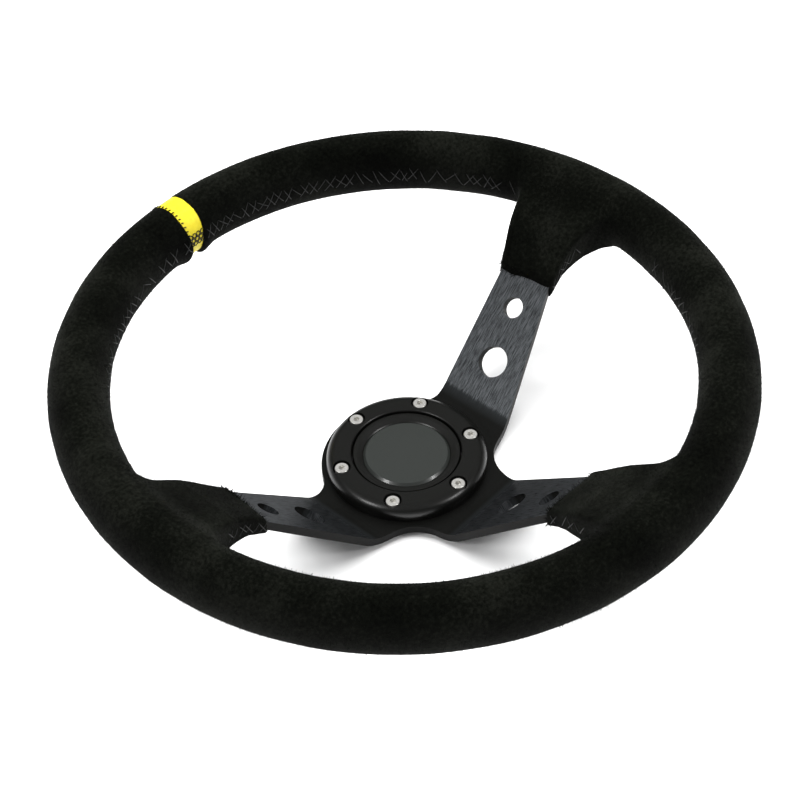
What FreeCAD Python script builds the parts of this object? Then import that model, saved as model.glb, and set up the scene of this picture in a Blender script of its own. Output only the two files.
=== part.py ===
"""Deep-dish three-spoke sports steering wheel with a suede rim and a push-button horn.

Frame: millimetres, +Z along the steering axis towards the driver, +Y towards the 12 o'clock mark,
+X towards the 3 o'clock spoke. The origin is the centre of the hub's back face, which bolts to the boss.
"""
import FreeCAD, Part

import math
import os

from FreeCAD import Vector

# ---------------------------------------------------------------- rim
RIM_DIAMETER = 350.0
GRIP_RADIAL = 15.1          # half width of the grip across the rim
GRIP_AXIAL = 16.5           # half height of the grip along the axis
RIM_HEIGHT = 75.0           # centre of the grip above the hub's back face
SUEDE = 1.3                 # thickness of the suede wrap
BAND_WIDTH = 10.5           # centre mark, along the rim
RIM_RADIUS = RIM_DIAMETER / 2 - GRIP_RADIAL
SEAM_AT = 40.0              # where round the wheel the grip's revolved faces start, clear of every spoke

# ---------------------------------------------------------------- spoke plate
PLATE = 4.5                 # sheet thickness
HUB_DISC_RADIUS = 44.3
HUB_BORE_RADIUS = 26.5
NOTCH_RADIUS = 21.0         # between a side spoke and the bottom spoke
SHOULDER_RADIUS = 12.0      # between a side spoke and the hub disc
DISH_BEND_AT = 50.0         # radius where a spoke leaves the hub plane
DISH_BEND_RADIUS = 13.0     # inside radius of that bend
RIM_BEND_AT = 123.5         # radius where a spoke turns level again, inside the grip
RIM_BEND_RADIUS = 15.0
ANCHOR_TOP = 70.5           # top of a spoke's level outer end
SPOKE_END = 166.0
SIDE_UPPER = ((50.0, 19.7), (105.0, 23.0))      # upper edge of the 3 o'clock spoke, x and y
SIDE_LOWER = ((46.0, -25.3), (105.0, -7.5))     # its lower edge
BOTTOM_EDGE = ((24.7, -50.0), (16.4, -100.0))   # right edge of the 6 o'clock spoke
SIDE_HOLES = ((70.6, 1.0, 8.4), (93.0, 6.0, 5.7))     # distance out, offset towards 12, radius
BOTTOM_HOLES = ((69.5, 0.0, 8.4), (92.8, 0.0, 5.7))

# ---------------------------------------------------------------- core ring and rivets
CORE_INNER, CORE_OUTER = 153.0, 167.0
CORE_THICK = 5.0
RIVET_RADIUS = 2.5
RIVET_HEAD_RADIUS = 4.5
RIVET_HEAD = 2.0
RIVET_SPREAD = 7.5          # half the distance between a spoke's two rivets
SIDE_AXIS_OFFSET = 9.0      # the side spokes' outer ends lie this far towards 12 o'clock

# ---------------------------------------------------------------- padded roots, where the grip runs onto a spoke
ROOT_HALF_WIDTHS = ((104.5, 15.4), (112.0, 16.8), (121.0, 19.2), (130.0, 22.6), (140.0, 28.0), (148.0, 34.0))
ROOT_TOP = ((104.5, 55.2), (118.0, 66.6), (125.0, 72.0), (138.0, 79.5), (153.0, 89.0))
ROOT_BOTTOM = ((104.5, 46.6), (118.0, 54.8), (135.0, 59.8), (153.0, 61.0))
ROOT_FOAM_START = 111.0     # the foam stops here, and only suede goes on along the spoke

# ---------------------------------------------------------------- trim ring and its screws
RING_RADIUS = 41.6
RING_TOP = 13.0
RING_ROUND = 5.5
RING_BORE = 28.5
RING_LIP = 1.0
BOLT_CIRCLE = 70.0
SCREW_COUNT = 6
SCREW_SHANK = 1.77          # a rolled-thread screw's plain shank is thinner than its thread
SCREW_THREAD = 2.0          # crests of the thread, which stands out behind the hub
SCREW_EDGE = 0.4
SCREW_HEAD = 3.5
SCREW_HEAD_HEIGHT = 4.0
SCREW_HEAD_TOP = 12.5
SCREW_LENGTH = 12.0
SCREW_CLEARANCE = 2.25
HEX_ACROSS_FLATS = 3.0
HEX_DEPTH = 2.0
POCKET_RADIUS = 4.65

# ---------------------------------------------------------------- horn button
TRAVEL = 2.0
HOUSING_RADIUS = 26.0
HOUSING_WALL = 1.8
HOUSING_FLOOR = 1.6
HOUSING_FLANGE = 28.3
HOUSING_TOP = 6.1
STEM_RADIUS = 2.8
STEM_GAP = 0.08
STEM_TIP = -1.4
STEM_NECK = 2.3             # the groove that the circlip snaps into
CIRCLIP = (-0.65, -0.05)    # its bottom and top
CLIP_TOP = 6.7
CLIP_GROOVE = 29.3
CAP_RADIUS = 28.1
CAP_UNDERSIDE = 8.9
CAP_FLOOR = 7.2
CAP_SKIRT = (22.0, 23.6)
CAP_CREST = (26.6, 11.9)    # radius and height of the bezel's crest
CAP_LIP = 9.8               # height of the bezel's inner lip, beside the insert
INSERT_RADIUS = 22.4
INSERT_SEAT = 8.8
INSERT_EDGE = 10.9
INSERT_BEVEL = 1.2
INSERT_CROWN = 11.5
EARTH_THICK = 0.5
CONTACT_THICK = 0.5
INSULATOR = (12.0, 20.5)
INSULATOR_TOP = 3.6
FIXED_CONTACT_TOP = 4.1
SPRING_WIRE = 0.35          # half thickness of the wire, drawn with flats rather than round
SPRING_SIDES = 8
SPRING_GAP = 0.02
SPRING_RADIUS = 6.5
SPRING_TURNS = 3.5
EARTH_RADIUS = 9.0
TERMINAL = (6.3, 0.8)       # spade width and thickness
TERMINAL_TIP = -3.0
TERMINAL_AT = 16.2

UP = Vector(0, 0, 1)
ORIGIN = Vector(0, 0, 0)


# ---------------------------------------------------------------- helpers
def cylinder(radius, low, high, at=(0.0, 0.0)):
    return Part.makeCylinder(radius, high - low, Vector(at[0], at[1], low))


def tube(inner, outer, low, high):
    return cylinder(outer, low, high).cut(cylinder(inner, low - 1, high + 1))


def slab(x0, x1, y0, y1, z0, z1):
    return Part.makeBox(x1 - x0, y1 - y0, z1 - z0, Vector(x0, y0, z0))


def turned(points):
    """A solid of revolution about Z from a closed outline of (radius, height) points."""
    wire = Part.makePolygon([Vector(r, 0, z) for r, z in points + points[:1]])
    return Part.Face(wire).revolve(ORIGIN, UP, 360)


def about_axis(shape, degrees):
    copy = shape.copy()
    copy.rotate(ORIGIN, UP, degrees)
    return copy


def mirrored(shape):
    return shape.mirror(ORIGIN, Vector(1, 0, 0))


def prism(points, low, high):
    """An upright prism over a closed outline of (x, y) points."""
    wire = Part.makePolygon([Vector(x, y, low) for x, y in points + points[:1]])
    return Part.Face(wire).extrude(Vector(0, 0, high - low))


def side_prism(wire_or_points, half_width):
    """An outline in the XZ plane, drawn out to both sides along Y."""
    if isinstance(wire_or_points, list):
        closed = wire_or_points + wire_or_points[:1]
        wire = Part.makePolygon([Vector(x, -half_width, z) for x, z in closed])
    else:
        wire = wire_or_points
    return Part.Face(wire).extrude(Vector(0, 2 * half_width, 0))


def fuse_all(shapes):
    return shapes[0].multiFuse(shapes[1:]).removeSplitter() if len(shapes) > 1 else shapes[0]


def top_circles(shape, height, radius):
    """The circular edges of that radius at that height."""
    return [e for e in shape.Edges if e.Curve.TypeId == "Part::GeomCircle"
            and abs(e.Curve.Radius - radius) < 0.1 and abs(e.BoundBox.ZMin - height) < 0.01
            and abs(e.BoundBox.ZMax - height) < 0.01]


def around_circle(shape, count, first_degrees=0.0):
    return [about_axis(shape, first_degrees + 360.0 / count * i) for i in range(count)]


# ---------------------------------------------------------------- rim
def grip_ring(inset):
    """The grip's oval section carried once round, inset below its outer skin."""
    oval = Part.Ellipse(ORIGIN, GRIP_AXIAL - inset, GRIP_RADIAL - inset)
    face = Part.Face(Part.Wire(oval.toShape()))
    face.rotate(ORIGIN, Vector(1, 0, 0), 90)
    face.rotate(ORIGIN, Vector(0, 1, 0), 90)
    face.translate(Vector(RIM_RADIUS, 0, RIM_HEIGHT))
    return about_axis(face.revolve(ORIGIN, UP, 360), SEAM_AT)


def root_block(margin, start):
    """The padded root on the +X axis: its plan and its side view, crossed. margin grows it all round."""
    ahead = [(x, half + margin) for x, half in ROOT_HALF_WIDTHS if x >= start]
    if ahead[0][0] > start:
        ahead.insert(0, (start, ahead[0][1] - (ahead[0][0] - start) * 0.4))
    plan = ahead + [(x, -y) for x, y in reversed(ahead)]
    side = [(x, z + margin) for x, z in ROOT_TOP] + [(x, z - margin) for x, z in reversed(ROOT_BOTTOM)]
    low = RIM_HEIGHT - 2 * GRIP_AXIAL
    high = RIM_HEIGHT + 2 * GRIP_AXIAL
    return prism(plan, low, high).common(side_prism(side, 80.0))


def placed_roots(block):
    """The root block at 3, 9 and 6 o'clock. The side roots lie a little above the horizontal."""
    side = block.translated(Vector(0, SIDE_AXIS_OFFSET, 0))
    return [side, mirrored(side), about_axis(block, -90)]


def band_sector(extra=0.0):
    half = BAND_WIDTH / 2 + extra
    return slab(-half, half, RIM_RADIUS - 40, RIM_RADIUS + 40, RIM_HEIGHT - 40, RIM_HEIGHT + 40)


# ---------------------------------------------------------------- spoke plate
def unit(a, b):
    length = math.hypot(b[0] - a[0], b[1] - a[1])
    return ((b[0] - a[0]) / length, (b[1] - a[1]) / length)


def crossing(p, d, q, e):
    """Where the line through p along d meets the line through q along e."""
    det = d[0] * -e[1] + e[0] * d[1]
    t = ((q[0] - p[0]) * -e[1] + e[0] * (q[1] - p[1])) / det
    return (p[0] + t * d[0], p[1] + t * d[1])


def on_line(p, d, x):
    return (x, p[1] + (x - p[0]) * d[1] / d[0])


def vec(p):
    return Vector(p[0], p[1], 0)


def plate_outline():
    """The whole plate seen from the front: the right half as lines and arcs, then its mirror image."""
    upper_dir = unit(*SIDE_UPPER)
    lower_dir = unit(*SIDE_LOWER)
    bottom_dir = unit(*BOTTOM_EDGE)
    side_outer = RIM_BEND_AT - 10.0
    # shoulder: a circle that touches the hub disc from outside and the side spoke's upper edge from above
    normal = (-upper_dir[1], upper_dir[0])
    reach = HUB_DISC_RADIUS + SHOULDER_RADIUS
    offset = SIDE_UPPER[0][0] * normal[0] + SIDE_UPPER[0][1] * normal[1] + SHOULDER_RADIUS
    along = math.sqrt(reach ** 2 - offset ** 2)
    shoulder = (normal[0] * offset + upper_dir[0] * along, normal[1] * offset + upper_dir[1] * along)
    shoulder_on_disc = (shoulder[0] * HUB_DISC_RADIUS / reach, shoulder[1] * HUB_DISC_RADIUS / reach)
    shoulder_on_edge = (shoulder[0] - normal[0] * SHOULDER_RADIUS, shoulder[1] - normal[1] * SHOULDER_RADIUS)
    half_way = (shoulder_on_disc[0] + shoulder_on_edge[0]) / 2, (shoulder_on_disc[1] + shoulder_on_edge[1]) / 2
    inward = unit(shoulder, half_way)
    shoulder_mid = (shoulder[0] + inward[0] * SHOULDER_RADIUS, shoulder[1] + inward[1] * SHOULDER_RADIUS)
    # notch: a circle that touches the side spoke's lower edge and the bottom spoke's right edge
    corner = crossing(SIDE_LOWER[0], lower_dir, BOTTOM_EDGE[0], bottom_dir)
    opening = math.acos(lower_dir[0] * bottom_dir[0] + lower_dir[1] * bottom_dir[1])
    run = NOTCH_RADIUS / math.tan(opening / 2)
    notch_side = (corner[0] + lower_dir[0] * run, corner[1] + lower_dir[1] * run)
    notch_bottom = (corner[0] + bottom_dir[0] * run, corner[1] + bottom_dir[1] * run)
    bisector = unit((0, 0), (lower_dir[0] + bottom_dir[0], lower_dir[1] + bottom_dir[1]))
    depth = NOTCH_RADIUS / math.sin(opening / 2) - NOTCH_RADIUS
    notch_mid = (corner[0] + bisector[0] * depth, corner[1] + bisector[1] * depth)
    side_top = on_line(SIDE_UPPER[0], upper_dir, side_outer)
    side_low = on_line(SIDE_LOWER[0], lower_dir, side_outer)
    foot_x = BOTTOM_EDGE[0][0] + bottom_dir[0] / bottom_dir[1] * (-side_outer - BOTTOM_EDGE[0][1])
    right = [
        Part.LineSegment(vec(shoulder_on_edge), vec(side_top)),
        Part.LineSegment(vec(side_top), vec((SPOKE_END, side_top[1]))),
        Part.LineSegment(vec((SPOKE_END, side_top[1])), vec((SPOKE_END, side_low[1]))),
        Part.LineSegment(vec((SPOKE_END, side_low[1])), vec(side_low)),
        Part.LineSegment(vec(side_low), vec(notch_side)),
        Part.Arc(vec(notch_side), vec(notch_mid), vec(notch_bottom)),
        Part.LineSegment(vec(notch_bottom), vec((foot_x, -side_outer))),
        Part.LineSegment(vec((foot_x, -side_outer)), vec((foot_x, -SPOKE_END))),
    ]
    edges = [Part.Arc(vec((0, HUB_DISC_RADIUS)), vec(polar(HUB_DISC_RADIUS, 75)), vec(shoulder_on_disc)).toShape(),
             Part.Arc(vec(shoulder_on_disc), vec(shoulder_mid), vec(shoulder_on_edge)).toShape()]
    edges += [curve.toShape() for curve in right]
    edges += [mirrored(edge) for edge in edges]
    edges.append(Part.LineSegment(vec((foot_x, -SPOKE_END)), vec((-foot_x, -SPOKE_END))).toShape())
    return Part.Wire(Part.__sortEdges__(edges))


def polar(radius, degrees):
    return (radius * math.cos(math.radians(degrees)), radius * math.sin(math.radians(degrees)))


def bent_path(lift):
    """The spoke's top or bottom line in the XZ plane: level, up the dish, level. lift is its height at the hub."""
    slope = math.atan2(ANCHOR_TOP - PLATE, RIM_BEND_AT - DISH_BEND_AT)
    side = PLATE - lift                     # how far below the top surface this line runs
    shift = side * math.tan(slope / 2)
    low = Vector(DISH_BEND_AT + shift, 0, lift)
    high = Vector(RIM_BEND_AT + shift, 0, ANCHOR_TOP - side)
    low_radius = DISH_BEND_RADIUS + side
    high_radius = RIM_BEND_RADIUS + PLATE - side
    up_slope = Vector(math.cos(slope), 0, math.sin(slope))
    across = Vector(-math.sin(slope), 0, math.cos(slope))
    low_run = low_radius * math.tan(slope / 2)
    high_run = high_radius * math.tan(slope / 2)
    low_in = low - Vector(low_run, 0, 0)
    low_out = low + up_slope * low_run
    high_in = high - up_slope * high_run
    high_out = high + Vector(high_run, 0, 0)
    low_centre = low_in + UP * low_radius
    high_centre = high_out - UP * high_radius
    half = (UP * -1 - across).normalize()
    low_mid = low_centre + half * low_radius
    high_mid = high_centre - half * high_radius
    return low_in, low_mid, low_out, high_in, high_mid, high_out


def bent_strip(half_width):
    """Sheet of the plate's thickness, bent up the dish along +X."""
    top = bent_path(PLATE)
    bottom = bent_path(0.0)

    def at(point):
        return Vector(point.x, -half_width, point.z)

    def line_and_arcs(path, level_start, level_end):
        a, b, c, d, e, f = [at(p) for p in path]
        return [Part.LineSegment(level_start, a), Part.Arc(a, b, c), Part.LineSegment(c, d),
                Part.Arc(d, e, f), Part.LineSegment(f, level_end)]

    corners = [Vector(0, -half_width, PLATE), Vector(SPOKE_END + 5, -half_width, ANCHOR_TOP),
               Vector(SPOKE_END + 5, -half_width, ANCHOR_TOP - PLATE), Vector(0, -half_width, 0)]
    curves = line_and_arcs(top, corners[0], corners[1])
    curves += [Part.LineSegment(corners[1], corners[2])]
    curves += line_and_arcs(bottom, corners[3], corners[2])
    curves += [Part.LineSegment(corners[3], corners[0])]
    wire = Part.Wire(Part.__sortEdges__([c.toShape() for c in curves]))
    return side_prism(wire, half_width)


def spoke_hole(out, offset, radius):
    """A lightening hole square to the sloping part of a spoke on the +X axis."""
    slope = math.atan2(ANCHOR_TOP - PLATE, RIM_BEND_AT - DISH_BEND_AT)
    axis = Vector(-math.sin(slope), 0, math.cos(slope))
    surface = Vector(out, offset, PLATE + (out - DISH_BEND_AT) * math.tan(slope))
    return Part.makeCylinder(radius, 4 * PLATE, surface - axis * 2.5 * PLATE, axis)


def spoke_plate():
    outline = Part.Face(plate_outline()).extrude(Vector(0, 0, 2 * RIM_HEIGHT))
    outline.translate(Vector(0, 0, -RIM_HEIGHT / 2))
    level = DISH_BEND_AT - 10.0
    beyond = SPOKE_END + 5
    strip = bent_strip(60.0)
    side = strip.common(outline).common(slab(level, beyond, -60, 60, -1, 2 * RIM_HEIGHT))
    for hole in SIDE_HOLES:
        side = side.cut(spoke_hole(*hole))
    bottom = about_axis(strip, -90).common(outline)
    bottom = bottom.common(slab(-60, 60, -beyond, -level, -1, 2 * RIM_HEIGHT))
    for hole in BOTTOM_HOLES:
        bottom = bottom.cut(about_axis(spoke_hole(*hole), -90))
    hub = outline.common(slab(-level, level, -level, 60, 0, PLATE))
    plate = fuse_all([hub, side, mirrored(side), bottom])
    plate = plate.cut(cylinder(HUB_BORE_RADIUS, -1, PLATE + 1))
    hole = cylinder(SCREW_CLEARANCE, -1, PLATE + 1, (BOLT_CIRCLE / 2, 0))
    for cutter in around_circle(hole, SCREW_COUNT, 30.0):
        plate = plate.cut(cutter)
    for cutter in rivets(0.0):
        plate = plate.cut(cutter)
    return plate


# ---------------------------------------------------------------- core ring and rivets
def rivets(head=RIVET_HEAD):
    """Six rivets, two in each spoke's outer end. With head 0 they are plain shanks, used as cutters."""
    at = (CORE_INNER + CORE_OUTER) / 2
    low = ANCHOR_TOP - PLATE
    high = ANCHOR_TOP + CORE_THICK
    middles = []
    for spread in (-RIVET_SPREAD, RIVET_SPREAD):
        shank = cylinder(RIVET_RADIUS, low, high, (at, spread))
        if head:
            shank = shank.fuse(cylinder(RIVET_HEAD_RADIUS, low - head, low, (at, spread)))
            shank = shank.fuse(cylinder(RIVET_HEAD_RADIUS, high, high + head, (at, spread)))
        middles.append(shank.removeSplitter())
    placed = []
    for middle in middles:
        side = middle.translated(Vector(0, SIDE_AXIS_OFFSET, 0))
        placed += [side, mirrored(side), about_axis(middle, -90)]
    return placed


def rim_core():
    ring = tube(CORE_INNER, CORE_OUTER, ANCHOR_TOP, ANCHOR_TOP + CORE_THICK)
    for cutter in rivets(0.0):
        ring = ring.cut(cutter)
    return ring


# ---------------------------------------------------------------- foam and suede
def foam_and_suede(metal):
    """The moulded foam grip, the suede wrap, the three back flaps and the centre mark."""
    foam_body = fuse_all([grip_ring(SUEDE)] + placed_roots(root_block(0.0, ROOT_FOAM_START)))
    cavity = fuse_all([grip_ring(SUEDE)] + placed_roots(root_block(0.0, ROOT_HALF_WIDTHS[0][0] - 3)))
    outer = fuse_all([grip_ring(0.0)] + placed_roots(root_block(SUEDE, ROOT_HALF_WIDTHS[0][0])))
    shell = outer.cut(cavity)
    foam = foam_body
    for piece in metal:
        shell = shell.cut(piece)
        foam = foam.cut(piece)
    below = [slab_below_spoke(), mirrored(slab_below_spoke()), about_axis(slab_below_spoke(0.0), -90)]
    flaps = [shell.common(region) for region in below]
    wrap = shell.cut(band_sector(0.0))
    for region in below:
        wrap = wrap.cut(region)
    band = grip_ring(0.3).cut(grip_ring(SUEDE)).common(band_sector(0.0))
    return foam, wrap, flaps, band


def slab_below_spoke(offset=SIDE_AXIS_OFFSET):
    """The space under the middle of a spoke on the +X axis, from the end of its root out to the grip."""
    low = RIM_HEIGHT - 40
    x0, x1 = ROOT_HALF_WIDTHS[0][0] - 4, RIM_RADIUS - GRIP_RADIAL - 3
    profile = [(x0, low), (x0, 47.5), (RIM_BEND_AT, 65.0), (x1, 66.0), (x1, low)]
    return side_prism(profile, 34.0).translated(Vector(0, offset, 0))


# ---------------------------------------------------------------- trim ring and screws
def trim_ring():
    body = tube(RING_BORE, RING_RADIUS, PLATE, RING_TOP)
    body = body.makeFillet(RING_ROUND, top_circles(body, RING_TOP, RING_RADIUS))
    body = body.makeFillet(RING_LIP, top_circles(body, RING_TOP, RING_BORE))
    body = body.cut(cylinder(CLIP_GROOVE, HOUSING_TOP, CLIP_TOP))
    head_seat = SCREW_HEAD_TOP - SCREW_HEAD_HEIGHT
    pocket = cylinder(POCKET_RADIUS, head_seat, RING_TOP + 1, (BOLT_CIRCLE / 2, 0))
    hole = cylinder(SCREW_CLEARANCE, PLATE - 1, RING_TOP, (BOLT_CIRCLE / 2, 0))
    for cutter in around_circle(pocket.fuse(hole), SCREW_COUNT, 30.0):
        body = body.cut(cutter)
    return body


def socket_screw():
    """An M4 cap screw at the bolt circle on the +X axis, head up."""
    at = (BOLT_CIRCLE / 2, 0)
    seat = SCREW_HEAD_TOP - SCREW_HEAD_HEIGHT
    head = cylinder(SCREW_HEAD, seat, SCREW_HEAD_TOP, at)
    head = head.makeFillet(SCREW_EDGE, top_circles(head, SCREW_HEAD_TOP, SCREW_HEAD))
    corners = [polar(HEX_ACROSS_FLATS / math.sqrt(3), 60 * i) for i in range(6)]
    hexagon = [(at[0] + x, at[1] + y) for x, y in corners]
    head = head.cut(prism(hexagon, SCREW_HEAD_TOP - HEX_DEPTH, SCREW_HEAD_TOP + 1))
    tip = seat - SCREW_LENGTH
    shank = cylinder(SCREW_SHANK, 0.0, seat, at)
    thread = cylinder(SCREW_THREAD, tip, 0.0, at)
    thread = thread.makeChamfer(SCREW_EDGE, top_circles(thread, tip, SCREW_THREAD))
    return head.fuse(shank).fuse(thread).removeSplitter()


# ---------------------------------------------------------------- horn button
def terminal_slot(side, gap=0.0):
    """The blade of a spade terminal on the X axis; side is +1 or -1. gap widens it into a slot."""
    width, thick = TERMINAL
    x = side * TERMINAL_AT
    return (x - thick / 2 - gap, x + thick / 2 + gap, -width / 2 - gap, width / 2 + gap)


def horn_housing():
    cup = cylinder(HOUSING_RADIUS, 0, HOUSING_TOP).cut(
        cylinder(HOUSING_RADIUS - HOUSING_WALL, HOUSING_FLOOR, HOUSING_TOP + 1))
    flange = tube(HOUSING_RADIUS - HOUSING_WALL, HOUSING_FLANGE, PLATE, HOUSING_TOP)
    cup = cup.fuse(flange).removeSplitter()
    cup = cup.cut(cylinder(STEM_RADIUS + STEM_GAP, -1, HOUSING_FLOOR + 1))
    for side in (-1, 1):
        cup = cup.cut(slab(*terminal_slot(side), -1, HOUSING_FLOOR + 1))
    return cup


def retaining_clip():
    """A spring-steel ring in the trim ring's groove, with a gap so that it can be squeezed to fit."""
    ring = tube(HOUSING_FLANGE - 3.6, CLIP_GROOVE, HOUSING_TOP, CLIP_TOP)
    return ring.cut(slab(-2.5, 2.5, -CLIP_GROOVE - 1, 0, HOUSING_TOP - 1, CLIP_TOP + 1))


def horn_cap():
    crest_r, crest_z = CAP_CREST
    lip = INSERT_RADIUS + 0.1
    skirt_in, skirt_out = CAP_SKIRT
    outline = [(0, CAP_FLOOR), (skirt_in, CAP_FLOOR), (skirt_in, 5.0), (skirt_out, 5.0), (skirt_out, CAP_UNDERSIDE),
               (CAP_RADIUS, CAP_UNDERSIDE), (CAP_RADIUS, crest_z - 1.4), (CAP_RADIUS - 0.5, crest_z - 0.5),
               (crest_r + 0.8, crest_z - 0.1), (crest_r, crest_z), (crest_r - 1.2, crest_z - 0.35),
               (lip + 0.5, CAP_LIP + 0.5), (lip, CAP_LIP), (lip, INSERT_SEAT), (0, INSERT_SEAT)]
    stem = cylinder(STEM_RADIUS, STEM_TIP, CAP_FLOOR)
    stem = stem.cut(tube(STEM_NECK, STEM_RADIUS + 1, *CIRCLIP))
    return turned(outline).fuse(stem).removeSplitter()


def horn_insert():
    rise = INSERT_CROWN - INSERT_EDGE
    reach = INSERT_RADIUS - INSERT_BEVEL
    sphere = (reach ** 2 + rise ** 2) / (2 * rise)
    disc = turned([(0, INSERT_SEAT), (INSERT_RADIUS, INSERT_SEAT), (INSERT_RADIUS, INSERT_EDGE - INSERT_BEVEL),
                   (reach, INSERT_EDGE), (reach, INSERT_CROWN + 1), (0, INSERT_CROWN + 1)])
    ball = Part.makeSphere(sphere, Vector(0, 0, INSERT_CROWN - sphere))
    return disc.common(ball)


def stem_circlip():
    ring = tube(STEM_NECK, STEM_RADIUS + 2.0, *CIRCLIP)
    return ring.cut(slab(0, 6, -1.6, 1.6, -1, 1))


def earth_plate():
    low, high = HOUSING_FLOOR, HOUSING_FLOOR + EARTH_THICK
    washer = tube(STEM_RADIUS + 0.6, EARTH_RADIUS, low, high)
    width = TERMINAL[0]
    tail = slab(-TERMINAL_AT - TERMINAL[1] / 2, -EARTH_RADIUS + 1, -width / 2, width / 2, low, high)
    blade = slab(*terminal_slot(-1), TERMINAL_TIP, low)
    return fuse_all([washer, tail, blade]).cut(cylinder(STEM_RADIUS + 0.6, low - 1, high + 1))


def insulator():
    inner, outer = INSULATOR
    width = TERMINAL[0] / 2 + 0.3
    ring = tube(inner, outer, HOUSING_FLOOR, INSULATOR_TOP)
    ring = ring.cut(slab(-outer - 1, 0, -width, width, HOUSING_FLOOR - 1, HOUSING_FLOOR + EARTH_THICK + 0.2))
    return ring.cut(slab(*terminal_slot(1), HOUSING_FLOOR - 1, INSULATOR_TOP + 1))


def fixed_contact():
    """The live brass ring, with three domes that the moving disc meets at full travel."""
    inner, outer = INSULATOR
    ring = tube(inner + 0.8, outer - 0.8, INSULATOR_TOP, FIXED_CONTACT_TOP)
    reach = CAP_FLOOR - CONTACT_THICK - TRAVEL - 0.02
    dome = cylinder(1.2, FIXED_CONTACT_TOP, reach, polar((inner + outer) / 2, 0))
    return fuse_all([ring] + around_circle(dome, 3, 90.0))


def live_terminal():
    return slab(*terminal_slot(1), TERMINAL_TIP, INSULATOR_TOP)


def moving_contact():
    return tube(STEM_RADIUS, INSULATOR[1], CAP_FLOOR - CONTACT_THICK, CAP_FLOOR)


def horn_spring():
    """A coil spring round the stem, from the earth plate up to the moving disc."""
    low = HOUSING_FLOOR + EARTH_THICK + SPRING_WIRE + SPRING_GAP
    high = CAP_FLOOR - CONTACT_THICK - SPRING_WIRE - SPRING_GAP
    path = Part.makeHelix((high - low) / SPRING_TURNS, high - low, SPRING_RADIUS)
    path.translate(Vector(0, 0, low))
    first = path.Edges[0]
    start = first.valueAt(first.FirstParameter)
    tangent = first.tangentAt(first.FirstParameter)
    ring = Part.makeCircle(SPRING_WIRE, start, tangent)
    section = Part.makePolygon(ring.discretize(SPRING_SIDES + 1))
    return Part.Wire(path.Edges).makePipeShell([section], True, True)


# ---------------------------------------------------------------- all parts
def build():
    plate = spoke_plate()
    core = rim_core()
    rivet_set = rivets()
    foam, wrap, flaps, band = foam_and_suede([plate, core] + rivet_set)
    parts = {
        "spoke_plate": plate,
        "rim_core_ring": core,
        "spoke_rivets": Part.makeCompound(rivet_set),
        "rim_foam": foam,
        "suede_wrap": wrap,
        "spoke_flap_3": flaps[0],
        "spoke_flap_9": flaps[1],
        "spoke_flap_6": flaps[2],
        "centre_band": band,
        "trim_ring": trim_ring(),
        "ring_screws": Part.makeCompound(around_circle(socket_screw(), SCREW_COUNT, 30.0)),
        "horn_housing": horn_housing(),
        "retaining_clip": retaining_clip(),
        "horn_cap": horn_cap(),
        "horn_insert": horn_insert(),
        "stem_circlip": stem_circlip(),
        "horn_spring": horn_spring(),
        "moving_contact": moving_contact(),
        "fixed_contact": fixed_contact(),
        "contact_insulator": insulator(),
        "earth_terminal": earth_plate(),
        "live_terminal": live_terminal(),
    }
    return parts


os.makedirs("parts", exist_ok=True)
for name, shape in build().items():
    valid = shape.isValid() and len(shape.Solids) > 0
    box = shape.BoundBox
    print(f"{name:18s} solids {len(shape.Solids)} volume {shape.Volume:10.1f} valid {valid} "
          f"z {box.ZMin:.1f}..{box.ZMax:.1f} x {box.XMin:.1f}..{box.XMax:.1f}")
    shape.exportStep(f"parts/{name}.step")
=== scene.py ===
"""The looks of the suede steering wheel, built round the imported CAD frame. Lengths are in metres."""

import math

import bpy
import numpy as np
from mathutils import Matrix, Vector

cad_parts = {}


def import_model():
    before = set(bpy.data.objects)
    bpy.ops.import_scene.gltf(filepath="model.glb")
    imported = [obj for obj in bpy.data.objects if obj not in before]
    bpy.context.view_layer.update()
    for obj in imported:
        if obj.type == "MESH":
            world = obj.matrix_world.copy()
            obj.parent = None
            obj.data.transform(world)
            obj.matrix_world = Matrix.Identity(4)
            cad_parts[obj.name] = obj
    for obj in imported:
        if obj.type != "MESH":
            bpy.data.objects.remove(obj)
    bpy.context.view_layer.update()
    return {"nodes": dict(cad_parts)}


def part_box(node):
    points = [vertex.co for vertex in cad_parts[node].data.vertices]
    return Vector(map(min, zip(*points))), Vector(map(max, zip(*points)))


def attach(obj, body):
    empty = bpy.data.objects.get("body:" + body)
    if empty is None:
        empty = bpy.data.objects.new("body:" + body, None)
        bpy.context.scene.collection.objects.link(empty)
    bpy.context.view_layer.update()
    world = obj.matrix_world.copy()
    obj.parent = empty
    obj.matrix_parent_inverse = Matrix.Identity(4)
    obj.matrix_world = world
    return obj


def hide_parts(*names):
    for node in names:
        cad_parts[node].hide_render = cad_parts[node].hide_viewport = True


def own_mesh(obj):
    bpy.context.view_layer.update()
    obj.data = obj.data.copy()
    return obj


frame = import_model()

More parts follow.
